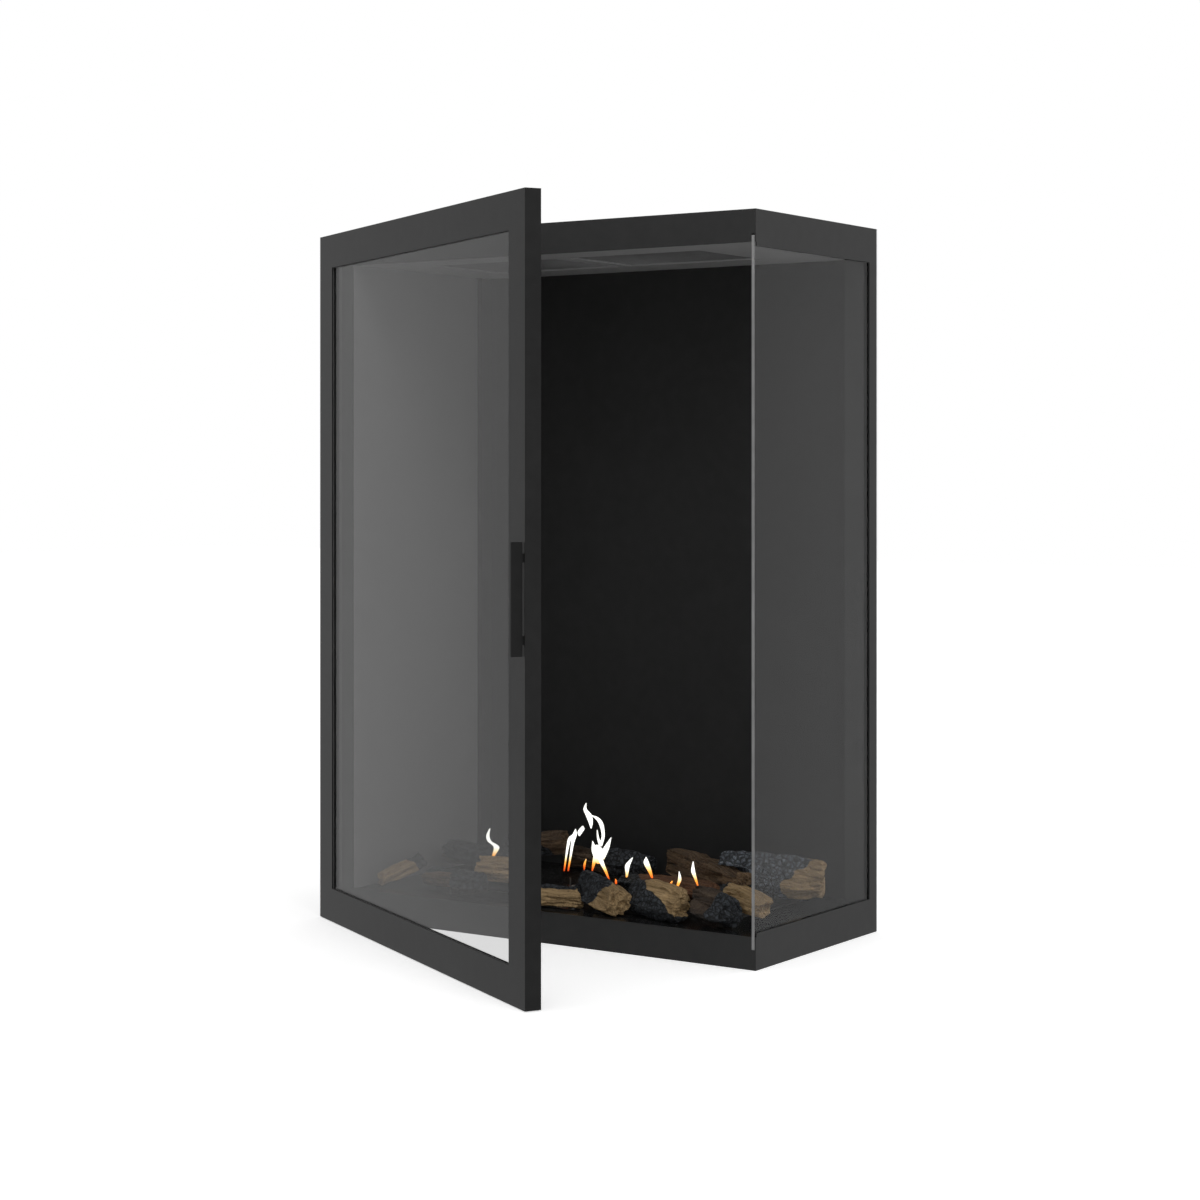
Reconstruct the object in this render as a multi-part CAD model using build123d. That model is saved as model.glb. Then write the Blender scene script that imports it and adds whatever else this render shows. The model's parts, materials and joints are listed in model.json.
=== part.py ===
from build123d import *
import math
import os

# Corner fireplace for building in: glass on the front, as a hinged framed door, and on the right side.
# Millimetres. X runs left to right along the front, Y from the front to the back, Z up.
# The origin is the centre of the body's base face. The door stands open by DOOR_OPEN degrees.

# Body and its sheet metal
BODY_WIDTH = 662.0
BODY_DEPTH = 312.0
BODY_HEIGHT = 920.0
SHEET = 2.0
SKIN = 1.5  # outer leaf of the rails and of the post that hold the side glass
FRONT_BAND = 40.0  # height of the front bands below and above the opening
SIDE_RAIL = 45.0  # height of the side rails below and above the side glass
BAND_SHELF = 14.0  # depth of the fold behind each front band
CEILING_GAP = 1.0  # the ceiling lies this much above the lower edge of the upper band
LEFT_CAVITY = 34.0  # from the outer side to the inner face of the left wall
SIDE_FLANGE = 15.0  # front fold of the left side panel
POST_LEG = 25.0  # depth of the hinge post's two legs
REAR_FOLD = 24.0  # rear fold of the left side panel, which the back panel is screwed to
REAR_CAVITY = 9.0  # from the body's rear face to the front face of the back wall
TRIM_DEPTH = 24.0  # forward fold of the back wall at its left end
TRIM_STEP = 8.0  # that fold's face stands this far off the left wall
REAR_POST_WIDTH = 38.0
REAR_POST_DEPTH = 21.0
SIDE_BOARD = 20.0  # thickness of the side insulation board
BOARD_PLAY = 2.0  # play of the insulation boards behind the post and below the ceiling

# Side glass
GLASS = 4.0  # thickness of both panes
GLASS_PLAY = 0.2  # between the side glass and each leaf of its slot
GLASS_SEAT = 25.0  # height of the seat that the side glass stands on
GLASS_TOP_ENTRY = 8.0  # how far the side glass stands above the underside of the upper band
GLASS_TOP_PLAY = 2.0
GLASS_REAR_ENTRY = 10.0  # how far the side glass reaches into the rear post
GLASS_REAR_PLAY = 0.4

# Ceiling grilles
GRILLE_WIDTH = 202.0
GRILLE_DEPTH = 152.0
GRILLE_BAR = 22.0  # ceiling left between the two grilles
GRILLE_CENTRE_X = -9.0
GRILLE_CENTRE_Y = -4.0
GRILLE_RIM = 10.0
GRILLE_SHEET = 1.5
GRILLE_SLOTS = 11
GRILLE_SLOT = 8.0

# Flue collar on the top plate
FLUE_RADIUS = 75.5  # inside radius, for a pipe of 150 mm
FLUE_WALL = 1.5
FLUE_ABOVE = 8.0
FLUE_BELOW = 10.0
FLUE_FLANGE = 13.0

# Hearth and burner
SLOT_WIDTH = 6.0  # air slots in the hearth plate, behind the front band
SLOT_LENGTH = 80.0
SLOT_BRIDGE = 14.0
SLOT_COUNT = 4
SLOT_START = 117.0  # from the outer left side to the first slot
SLOT_ROWS = (28.6, 46.8)  # from the front plane to the middle of each row
DEFLECTOR_LENGTH = 52.0
BURNER_WIDTH = 470.0
BURNER_DEPTH = 155.0
BURNER_FROM_RIGHT = 90.0  # from the body's right side to the burner box
BURNER_FROM_FRONT = 95.0
BURNER_RISE = 16.0  # top of the burner above the hearth
BURNER_DROP = 26.0  # depth of the burner box below the hearth's underside
BURNER_WALL = 1.5
BURNER_LIP = 8.0
BURNER_PLAY = 0.5
PORT_LENGTH = 30.0
PORT_WIDTH = 3.0
PORT_PITCH = 42.0
PORT_ROWS = 3
PIPE_RADIUS = 8.0
PIPE_WALL = 1.2
PIPE_HEIGHT = 30.0
PIPE_SPACING = 69.0
PIPE_HOLE = 1.5
PIPE_HOLES = 14
MANIFOLD = 16.0  # side of the square manifold bar
MANIFOLD_WALL = 2.0
MANIFOLD_OFFSET = 14.0  # from the burner box's left wall to the manifold's middle
INLET_RADIUS = 8.4  # core of the gas inlet's thread
INLET_DEPTH = 12.0
INLET_WALL = 2.1
INLET_FLANGE = 14.0
INLET_FLANGE_THICKNESS = 3.0
INLET_BORE = 4.0
INLET_NECK = 7.0
PILOT_X = 340.0  # from the outer left side to the pilot
PILOT_Y = 80.0  # from the front plane to the pilot
PILOT_PLATE = 22.0
PILOT_RADIUS = 3.5
PILOT_HEIGHT = 22.0
ELECTRODE_RADIUS = 2.2
ELECTRODE_HEIGHT = 20.0
ELECTRODE_TIP = 0.8
ELECTRODE_TIP_LENGTH = 10.0
ELECTRODE_SPACING = 13.0

# Base fixing
FOOT_SPACING_X = 560.0
FOOT_SPACING_Y = 220.0
FOOT_HOLE = 4.25
NUT_FLATS = 13.0
NUT_HEIGHT = 6.5

# Back panel screws
SCREW_RADIUS = 1.9
SCREW_HEAD = 3.6
SCREW_HEAD_HEIGHT = 2.0
SCREW_LENGTH = 6.0
SCREW_INSET = 17.0
SCREW_END = 60.0
SCREWS_PER_SIDE = 4

# Door
DOOR_OPEN = 29.33
DOOR_GAP = 0.6  # between the closed door and the front plane
DOOR_OVERHANG = 0.7  # the hinge line stands this far outside the body's left side
DOOR_END_PLAY = 1.0  # the door is this much shorter than the body at each end
DOOR_THICKNESS = 20.0
FRAME_FACE = 44.0  # face width of the rails and of the latch stile
HINGE_FACE_EXTRA = 2.0  # the hinge stile is this much wider
FRAME_LIP = 10.0  # lip in front of the glass
LIP_THICKNESS = 2.0
FRAME_WALL = 1.5
GLASS_OVERLAP = 8.0  # how far the lip covers the glass
TAPE = 1.0
RETAINER = 1.5
RETAINER_SHORT = 1.0  # each retainer strip ends this far from the corner
RETAINER_SETBACK = 1.0  # from the back face of the frame to the retainer's edge
RETAINER_SCREW = 1.6
RETAINER_SCREW_HEAD = 2.8
RETAINER_SCREW_HEAD_HEIGHT = 1.6
RETAINER_SCREWS_SIDE = 4
RETAINER_SCREWS_TOP = 3
GASKET_WIDTH = 8.0
GASKET_DEPTH = 3.0
GASKET_INSET = 12.0  # from the outer edge of the hinge stile and of both rails
MAGNET_RADIUS = 4.5
MAGNET_LENGTH = 6.0
MAGNET_INSET = 28.0
MAGNET_FROM_LATCH = 60.0

# Handle: an upright fin on two feet
HANDLE_HEIGHT = 128.0
HANDLE_THICKNESS = 3.0
HANDLE_REACH = 14.0
HANDLE_FOOT = 1.5
HANDLE_FOOT_HEIGHT = 10.0
HANDLE_FOOT_INSET = 18.0
HANDLE_EDGE = 3.0  # from the door's free edge to the fin
HANDLE_SCREW = 1.0
HANDLE_SCREW_LENGTH = 5.0

# Hinges
HINGE_END = 110.0  # from each end of the body to the hinge's bearing washer
KNUCKLE_RADIUS = 6.5
KNUCKLE_LENGTH = 30.0
KNUCKLE_CLEARANCE = 0.5
PIN_RADIUS = 3.0
PIN_PLAY = 0.05
PIN_CAP = 4.0  # solid end of the door's knuckle above the pin
WASHER = 1.5
WASHER_PLAY = 0.1
LEAF = 3.0
LEAF_CLEARANCE = 0.2

# Log set
LOG_THICKNESS = 40.0  # thickness of a usual log
SEAT_DEPTH = 0.4  # how deep each log is notched over what carries it
ROUND = (1.0, 0.94, 1.0, 0.92, 1.0, 0.95, 0.9, 0.97)
SPLIT = (1.0, 0.98, 0.78, 0.92, 1.0, 0.86, 0.7, 0.8)
WEDGE = (1.05, 0.85, 1.0, 0.62, 0.95, 0.8, 0.72, 0.86)
PLANK = (1.0, 0.78, 0.55, 0.8, 1.0, 0.76, 0.52, 0.74)
STATIONS = (0.0, 0.35, 0.7, 1.0)
SWELL = (0.88, 1.04, 0.98, 0.86)
TWIST = 9.0

# Planes and lines that follow from the sizes above
LEFT = -BODY_WIDTH / 2
RIGHT = BODY_WIDTH / 2
FRONT = -BODY_DEPTH / 2
REAR = BODY_DEPTH / 2
IN_LEFT = LEFT + SHEET
IN_RIGHT = RIGHT - SKIN
IN_FRONT = FRONT + SHEET
IN_REAR = REAR - SHEET
HEARTH = FRONT_BAND
UNDER_HEARTH = HEARTH - SHEET
CEILING = BODY_HEIGHT - FRONT_BAND + CEILING_GAP
OVER_CEILING = CEILING + SHEET
WALL_FACE = LEFT + LEFT_CAVITY
BACK_FACE = REAR - REAR_CAVITY
SLOT_OUT = IN_RIGHT
SLOT_IN = SLOT_OUT - GLASS - 2 * GLASS_PLAY
RAIL_IN = SLOT_IN - SHEET
POST_LEFT = RIGHT - REAR_POST_WIDTH
POST_FRONT = REAR - REAR_POST_DEPTH
GLASS_REAR = POST_FRONT + GLASS_REAR_ENTRY
GLASS_TOP = BODY_HEIGHT - FRONT_BAND + GLASS_TOP_ENTRY
GLASS_OUT = SLOT_OUT - GLASS_PLAY
GLASS_IN = GLASS_OUT - GLASS
BURNER_RIGHT = RIGHT - BURNER_FROM_RIGHT
BURNER_LEFT = BURNER_RIGHT - BURNER_WIDTH
BURNER_FRONT = FRONT + BURNER_FROM_FRONT
BURNER_REAR = BURNER_FRONT + BURNER_DEPTH
BURNER_TOP = HEARTH + BURNER_RISE
BURNER_FLOOR = UNDER_HEARTH - BURNER_DROP
MANIFOLD_X = BURNER_LEFT + BURNER_WALL + MANIFOLD_OFFSET
BURNER_MIDDLE = (BURNER_FRONT + BURNER_REAR) / 2
HINGE_X = LEFT - DOOR_OVERHANG
HINGE_Y = FRONT - DOOR_GAP
DOOR_RIGHT = GLASS_OUT
DOOR_FRONT = HINGE_Y - DOOR_THICKNESS
DOOR_BOTTOM = DOOR_END_PLAY
DOOR_TOP = BODY_HEIGHT - DOOR_END_PLAY
HINGE_HEIGHTS = (HINGE_END, BODY_HEIGHT - HINGE_END)
SCREW_HEIGHTS = tuple(
    SCREW_END + i * (BODY_HEIGHT - 2 * SCREW_END) / (SCREWS_PER_SIDE - 1) for i in range(SCREWS_PER_SIDE)
)
SCREW_PLACES = tuple((x, z) for x in (LEFT + SCREW_INSET, RIGHT - SCREW_INSET) for z in SCREW_HEIGHTS)


# Shapes that every piece is made from
def block(x0, x1, y0, y1, z0, z1):
    return Pos((x0 + x1) / 2, (y0 + y1) / 2, (z0 + z1) / 2) * Box(x1 - x0, y1 - y0, z1 - z0)


def post(x, y, z0, z1, radius):
    return Pos(x, y, (z0 + z1) / 2) * Cylinder(radius, z1 - z0)


def rod_x(x0, x1, y, z, radius):
    return Pos((x0 + x1) / 2, y, z) * Rot(0, 90, 0) * Cylinder(radius, x1 - x0)


def rod_y(x, y0, y1, z, radius):
    return Pos(x, (y0 + y1) / 2, z) * Rot(90, 0, 0) * Cylinder(radius, y1 - y0)


def rod_z_hex(x, y, z0, z1, flats):
    return Pos(x, y, z0) * extrude(RegularPolygon(flats / 2, 6, major_radius=False), z1 - z0)


# Base, bands and rails
def base_plate():
    plate = block(IN_LEFT, IN_RIGHT, IN_FRONT, IN_REAR, 0, SHEET)
    for x, y in foot_places():
        plate -= post(x, y, 0, SHEET, FOOT_HOLE)
    return plate - post(MANIFOLD_X, BURNER_MIDDLE, 0, SHEET, INLET_RADIUS + INLET_WALL)


def foot_places():
    half_x = FOOT_SPACING_X / 2
    half_y = FOOT_SPACING_Y / 2
    return [(x, y) for x in (-half_x, half_x) for y in (-half_y, half_y)]


def weld_nuts():
    nuts = []
    for x, y in foot_places():
        nut = rod_z_hex(x, y, SHEET, SHEET + NUT_HEIGHT, NUT_FLATS)
        nuts.append(nut - post(x, y, SHEET, SHEET + NUT_HEIGHT, FOOT_HOLE))
    return nuts


def front_lower_band():
    skin = block(LEFT, RIGHT, FRONT, IN_FRONT, 0, FRONT_BAND)
    shelf = block(IN_LEFT, RAIL_IN, IN_FRONT, IN_FRONT + BAND_SHELF, UNDER_HEARTH - SHEET, UNDER_HEARTH)
    return skin + shelf - block(SLOT_IN, SLOT_OUT, FRONT, IN_FRONT, GLASS_SEAT, FRONT_BAND)


def front_upper_band():
    low = BODY_HEIGHT - FRONT_BAND
    skin = block(LEFT, RIGHT, FRONT, IN_FRONT, low, BODY_HEIGHT)
    shelf = block(IN_LEFT, RAIL_IN, IN_FRONT, IN_FRONT + BAND_SHELF, OVER_CEILING, OVER_CEILING + SHEET)
    return skin + shelf - block(SLOT_IN, SLOT_OUT, FRONT, IN_FRONT, low, GLASS_TOP + GLASS_TOP_PLAY)


def side_lower_rail():
    leaf = block(IN_RIGHT, RIGHT, IN_FRONT, IN_REAR, 0, SIDE_RAIL)
    seat = block(RAIL_IN, IN_RIGHT, IN_FRONT, IN_REAR, GLASS_SEAT - SHEET, GLASS_SEAT)
    return leaf + seat + block(RAIL_IN, SLOT_IN, IN_FRONT, IN_REAR, GLASS_SEAT, UNDER_HEARTH)


def side_upper_rail():
    stop = GLASS_TOP + GLASS_TOP_PLAY
    leaf = block(IN_RIGHT, RIGHT, IN_FRONT, IN_REAR, BODY_HEIGHT - SIDE_RAIL, BODY_HEIGHT)
    web = block(RAIL_IN, IN_RIGHT, IN_FRONT, IN_REAR, stop, stop + SHEET)
    return leaf + web + block(RAIL_IN, SLOT_IN, IN_FRONT, IN_REAR, OVER_CEILING, stop)


# Hearth and casing panels
def hearth_plate():
    plate = block(IN_LEFT, SLOT_IN, IN_FRONT, IN_REAR, UNDER_HEARTH, HEARTH)
    plate -= block(
        BURNER_LEFT - BURNER_PLAY,
        BURNER_RIGHT + BURNER_PLAY,
        BURNER_FRONT - BURNER_PLAY,
        BURNER_REAR + BURNER_PLAY,
        UNDER_HEARTH,
        HEARTH,
    )
    for row in SLOT_ROWS:
        for i in range(SLOT_COUNT):
            x = LEFT + SLOT_START + i * (SLOT_LENGTH + SLOT_BRIDGE)
            y = FRONT + row
            plate -= block(x, x + SLOT_LENGTH, y - SLOT_WIDTH / 2, y + SLOT_WIDTH / 2, UNDER_HEARTH, HEARTH)
    return plate


def air_deflector():
    x = LEFT + SLOT_START
    y0 = FRONT + SLOT_ROWS[0] - SLOT_WIDTH
    y1 = FRONT + SLOT_ROWS[1] + SLOT_WIDTH
    return block(x - SLOT_WIDTH, x + DEFLECTOR_LENGTH, y0, y1, UNDER_HEARTH - SKIN, UNDER_HEARTH)


def left_side_panel():
    panel = block(LEFT, IN_LEFT, IN_FRONT, IN_REAR, 0, BODY_HEIGHT)
    panel += block(LEFT, LEFT + SIDE_FLANGE, FRONT, IN_FRONT, HEARTH, BODY_HEIGHT - FRONT_BAND)
    panel += block(IN_LEFT, LEFT + REAR_FOLD, IN_REAR - SHEET, IN_REAR, HEARTH, CEILING)
    return cut_hinges(cut_screws(panel))


def back_panel():
    return cut_screws(block(LEFT, RIGHT, IN_REAR, REAR, 0, BODY_HEIGHT))


def top_plate():
    plate = block(IN_LEFT, IN_RIGHT, IN_FRONT, IN_REAR, BODY_HEIGHT - SHEET, BODY_HEIGHT)
    return plate - post(0, 0, BODY_HEIGHT - SHEET, BODY_HEIGHT, FLUE_RADIUS + FLUE_WALL)


def flue_collar():
    low = BODY_HEIGHT - SHEET - FLUE_BELOW
    high = BODY_HEIGHT + FLUE_ABOVE
    under = BODY_HEIGHT - SHEET
    tube = post(0, 0, low, high, FLUE_RADIUS + FLUE_WALL)
    flange = post(0, 0, under - SHEET, under, FLUE_RADIUS + FLUE_WALL + FLUE_FLANGE)
    return tube + flange - post(0, 0, low, high, FLUE_RADIUS)


def cut_screws(panel):
    for x, z in SCREW_PLACES:
        panel -= rod_y(x, REAR - SCREW_LENGTH, REAR, z, SCREW_RADIUS)
    return panel


def back_panel_screws():
    screws = []
    for x, z in SCREW_PLACES:
        shank = rod_y(x, REAR - SCREW_LENGTH, REAR, z, SCREW_RADIUS)
        screws.append(shank + rod_y(x, REAR, REAR + SCREW_HEAD_HEIGHT, z, SCREW_HEAD))
    return screws


# Liner of the fire chamber
def left_inner_wall():
    return block(WALL_FACE - SHEET, WALL_FACE, IN_FRONT, BACK_FACE + SHEET, HEARTH, CEILING)


def left_post():
    x0 = LEFT + SIDE_FLANGE
    x1 = WALL_FACE - SHEET
    top = BODY_HEIGHT - FRONT_BAND
    face = block(x0, WALL_FACE, FRONT, IN_FRONT, HEARTH, top)
    leg = block(x0, x0 + SHEET, IN_FRONT, IN_FRONT + POST_LEG, HEARTH, top)
    return face + leg + block(x1 - SHEET, x1, IN_FRONT, IN_FRONT + POST_LEG, HEARTH, top)


def back_wall():
    face = WALL_FACE + TRIM_STEP
    y0 = BACK_FACE - TRIM_DEPTH
    wall = block(WALL_FACE, POST_LEFT, BACK_FACE, BACK_FACE + SHEET, HEARTH, CEILING)
    fold = block(face - SHEET, face, y0, BACK_FACE, HEARTH, CEILING)
    return wall + fold + block(WALL_FACE, face - SHEET, y0, y0 + SHEET, HEARTH, CEILING)


def rear_right_post():
    slot_end = GLASS_REAR + GLASS_REAR_PLAY
    body = block(POST_LEFT, RIGHT, POST_FRONT, IN_REAR, HEARTH, CEILING)
    body -= block(SLOT_IN, SLOT_OUT, POST_FRONT, slot_end, HEARTH, CEILING)
    body -= block(POST_LEFT + SHEET, RAIL_IN, POST_FRONT + SHEET, IN_REAR - SHEET, HEARTH, CEILING)
    body -= block(SLOT_IN, SLOT_OUT, slot_end + SHEET, IN_REAR, HEARTH, CEILING)
    body -= block(IN_RIGHT, RIGHT, POST_FRONT, IN_REAR, HEARTH, SIDE_RAIL)
    body -= block(IN_RIGHT, RIGHT, POST_FRONT, IN_REAR, BODY_HEIGHT - SIDE_RAIL, CEILING)
    return cut_screws(body)


def side_insulation():
    x = WALL_FACE - SHEET
    y0 = IN_FRONT + POST_LEG + BOARD_PLAY
    return block(x - SIDE_BOARD, x, y0, BACK_FACE, HEARTH, CEILING - BOARD_PLAY)


def rear_insulation():
    return block(WALL_FACE, POST_LEFT, BACK_FACE + SHEET, IN_REAR, HEARTH, CEILING - BOARD_PLAY)


def side_glass():
    return block(GLASS_IN, GLASS_OUT, FRONT, GLASS_REAR, GLASS_SEAT, GLASS_TOP)


# Ceiling with its two grilles
def grille_left_edge(index):
    return GRILLE_CENTRE_X - GRILLE_BAR / 2 - GRILLE_WIDTH + index * (GRILLE_WIDTH + GRILLE_BAR)


def ceiling_panel():
    panel = block(IN_LEFT, SLOT_IN, IN_FRONT, IN_REAR, CEILING, OVER_CEILING)
    y0 = GRILLE_CENTRE_Y - GRILLE_DEPTH / 2
    for i in range(2):
        x0 = grille_left_edge(i)
        panel -= block(x0, x0 + GRILLE_WIDTH, y0, y0 + GRILLE_DEPTH, CEILING, OVER_CEILING)
    return panel


def ceiling_grille(index):
    x0 = grille_left_edge(index)
    x1 = x0 + GRILLE_WIDTH
    y0 = GRILLE_CENTRE_Y - GRILLE_DEPTH / 2
    y1 = y0 + GRILLE_DEPTH
    z0 = OVER_CEILING
    z1 = z0 + GRILLE_SHEET
    plate = block(x0 - GRILLE_RIM, x1 + GRILLE_RIM, y0 - GRILLE_RIM, y1 + GRILLE_RIM, z0, z1)
    pitch = GRILLE_DEPTH / GRILLE_SLOTS
    for i in range(GRILLE_SLOTS):
        y = y0 + (i + 0.5) * pitch
        plate -= block(x0, x1, y - GRILLE_SLOT / 2, y + GRILLE_SLOT / 2, z0, z1)
    return plate


# Burner under the log set
def burner_box():
    shell = block(BURNER_LEFT, BURNER_RIGHT, BURNER_FRONT, BURNER_REAR, BURNER_FLOOR, BURNER_TOP - SHEET)
    x0 = BURNER_LEFT - BURNER_LIP
    x1 = BURNER_RIGHT + BURNER_LIP
    shell += block(x0, x1, BURNER_FRONT - BURNER_LIP, BURNER_REAR + BURNER_LIP, HEARTH, HEARTH + BURNER_WALL)
    shell -= block(
        BURNER_LEFT + BURNER_WALL,
        BURNER_RIGHT - BURNER_WALL,
        BURNER_FRONT + BURNER_WALL,
        BURNER_REAR - BURNER_WALL,
        BURNER_FLOOR + BURNER_WALL,
        BURNER_TOP - SHEET,
    )
    hole = INLET_RADIUS + INLET_WALL
    return shell - post(MANIFOLD_X, BURNER_MIDDLE, BURNER_FLOOR, BURNER_FLOOR + BURNER_WALL, hole)


def burner_cover():
    plate = block(BURNER_LEFT, BURNER_RIGHT, BURNER_FRONT, BURNER_REAR, BURNER_TOP - SHEET, BURNER_TOP)
    columns = int(BURNER_WIDTH / PORT_PITCH)
    middle = (BURNER_LEFT + BURNER_RIGHT) / 2
    for i in range(columns):
        x = middle + (i - (columns - 1) / 2) * PORT_PITCH
        for j in range(PORT_ROWS):
            y = BURNER_FRONT + (j + 0.5) * BURNER_DEPTH / PORT_ROWS
            port = block(0, PORT_LENGTH, 0, PORT_WIDTH, BURNER_TOP - SHEET, BURNER_TOP)
            plate -= Pos(x - PORT_LENGTH / 2, y - PORT_WIDTH / 2, 0) * port
    return plate


def pipe_places():
    return (BURNER_MIDDLE - PIPE_SPACING / 2, BURNER_MIDDLE + PIPE_SPACING / 2)


def burner_pipes():
    x0 = MANIFOLD_X + MANIFOLD / 2
    x1 = BURNER_RIGHT - BURNER_WALL
    bore = PIPE_RADIUS - PIPE_WALL
    pipes = []
    for y in pipe_places():
        pipe = rod_x(x0, x1, y, PIPE_HEIGHT, PIPE_RADIUS) - rod_x(x0, x1 - PIPE_WALL, y, PIPE_HEIGHT, bore)
        for i in range(PIPE_HOLES):
            x = x0 + (i + 0.5) * (x1 - x0) / PIPE_HOLES
            pipe -= post(x, y, PIPE_HEIGHT, PIPE_HEIGHT + PIPE_RADIUS, PIPE_HOLE)
        pipes.append(pipe)
    return pipes


def gas_manifold():
    half = MANIFOLD / 2
    x0 = MANIFOLD_X - half
    x1 = MANIFOLD_X + half
    y0 = pipe_places()[0] - PIPE_RADIUS
    y1 = pipe_places()[1] + PIPE_RADIUS
    z0 = PIPE_HEIGHT - half
    z1 = PIPE_HEIGHT + half
    wall = MANIFOLD_WALL
    bar = block(x0, x1, y0, y1, z0, z1)
    bar -= block(x0 + wall, x1 - wall, y0 + wall, y1 - wall, z0 + wall, z1 - wall)
    for y in pipe_places():
        bar -= rod_x(x1 - wall, x1, y, PIPE_HEIGHT, PIPE_RADIUS - PIPE_WALL)
    return bar - post(MANIFOLD_X, BURNER_MIDDLE, z0, z0 + wall, INLET_BORE)


def gas_inlet_fitting():
    x = MANIFOLD_X
    y = BURNER_MIDDLE
    top = PIPE_HEIGHT - MANIFOLD / 2
    shoulder = INLET_DEPTH + INLET_WALL
    body = post(x, y, 0, shoulder, INLET_RADIUS + INLET_WALL) + post(x, y, shoulder, top, INLET_NECK)
    body += post(x, y, SHEET, SHEET + INLET_FLANGE_THICKNESS, INLET_FLANGE)
    return body - post(x, y, 0, INLET_DEPTH, INLET_RADIUS) - post(x, y, INLET_DEPTH, top, INLET_BORE)


def pilot_burner():
    x = LEFT + PILOT_X
    y = FRONT + PILOT_Y
    half = PILOT_PLATE / 2
    top = HEARTH + PILOT_HEIGHT
    plate = block(x - half, x + half, y - half / 2, y + half / 2, HEARTH, HEARTH + SKIN)
    body = plate + post(x, y, HEARTH, top, PILOT_RADIUS)
    return body - post(x, y, top - PILOT_RADIUS, top, PILOT_RADIUS / 2)


def pilot_electrodes():
    x = LEFT + PILOT_X
    y = FRONT + PILOT_Y
    foot = HEARTH + SKIN
    top = foot + ELECTRODE_HEIGHT
    rods = []
    for side in (-1, 1):
        at = x + side * ELECTRODE_SPACING / 2
        rod = post(at, y, foot, top, ELECTRODE_RADIUS)
        rods.append(rod + post(at, y, top, top + ELECTRODE_TIP_LENGTH, ELECTRODE_TIP))
    return rods


# Door frame, built closed
def inset_block(left, right, bottom, top, y0, y1):
    return block(HINGE_X + left, DOOR_RIGHT - right, y0, y1, DOOR_BOTTOM + bottom, DOOR_TOP - top)


def frame_inset(inset):
    return (inset + HINGE_FACE_EXTRA, inset, inset, inset)


def gasket_ring(y0, y1, spare=0.0):
    outer = GASKET_INSET - spare
    inner = GASKET_INSET + GASKET_WIDTH + spare
    latch = FRAME_WALL
    ring = inset_block(outer, latch - min(spare, latch), outer, outer, y0, y1)
    return ring - inset_block(inner, latch + GASKET_WIDTH + spare, inner, inner, y0, y1)


def door_frame():
    box = FRAME_FACE - FRAME_LIP
    wall = FRAME_WALL
    frame = inset_block(0, 0, 0, 0, DOOR_FRONT, HINGE_Y)
    frame -= inset_block(*frame_inset(box), DOOR_FRONT + LIP_THICKNESS, HINGE_Y)
    frame -= inset_block(*frame_inset(FRAME_FACE), DOOR_FRONT, HINGE_Y)
    cavity = inset_block(wall, wall, wall, wall, DOOR_FRONT + wall, HINGE_Y - wall)
    cavity -= inset_block(*frame_inset(box - wall), DOOR_FRONT + wall, HINGE_Y - wall)
    cavity -= gasket_ring(HINGE_Y - GASKET_DEPTH - wall, HINGE_Y, wall)
    frame -= cavity
    frame -= gasket_ring(HINGE_Y - GASKET_DEPTH, HINGE_Y)
    for x, z in magnet_places():
        frame -= rod_y(x, HINGE_Y - MAGNET_LENGTH, HINGE_Y, z, MAGNET_RADIUS)
    for screw in retainer_screw_axes():
        frame -= screw_shank(*screw)
    for z in handle_foot_heights():
        frame -= rod_y(handle_middle(), DOOR_FRONT, DOOR_FRONT + FRAME_WALL, z, HANDLE_SCREW)
    return frame


def mitre(points):
    plane = Plane((0, DOOR_FRONT, 0), x_dir=(1, 0, 0), z_dir=(0, -1, 0))
    return extrude(plane * Polygon(*points, align=None), DOOR_THICKNESS, both=True)


def frame_members():
    x0, x1, z0, z1 = HINGE_X, DOOR_RIGHT, DOOR_BOTTOM, DOOR_TOP
    left = x0 + FRAME_FACE + HINGE_FACE_EXTRA
    right = x1 - FRAME_FACE
    low = z0 + FRAME_FACE
    high = z1 - FRAME_FACE
    frame = door_frame()
    return {
        "door_top_rail": frame & mitre([(x0, z1), (x1, z1), (right, high), (left, high)]),
        "door_bottom_rail": frame & mitre([(x0, z0), (x1, z0), (right, low), (left, low)]),
        "door_hinge_stile": notch_for_hinges(frame & mitre([(x0, z0), (left, low), (left, high), (x0, z1)])),
        "door_latch_stile": frame & mitre([(x1, z0), (right, low), (right, high), (x1, z1)]),
    }


# Door glass and what holds it
def door_glass():
    inset = FRAME_FACE - GLASS_OVERLAP
    y0 = DOOR_FRONT + LIP_THICKNESS + TAPE
    return inset_block(*frame_inset(inset), y0, y0 + GLASS)


def door_glass_seal():
    y0 = DOOR_FRONT + LIP_THICKNESS
    ring = inset_block(*frame_inset(FRAME_FACE - GLASS_OVERLAP), y0, y0 + TAPE)
    return ring - inset_block(*frame_inset(FRAME_FACE), y0, y0 + TAPE)


def retainer_box():
    inset = FRAME_FACE - FRAME_LIP
    x0 = HINGE_X + inset + HINGE_FACE_EXTRA
    return x0, DOOR_RIGHT - inset, DOOR_BOTTOM + inset, DOOR_TOP - inset


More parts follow.
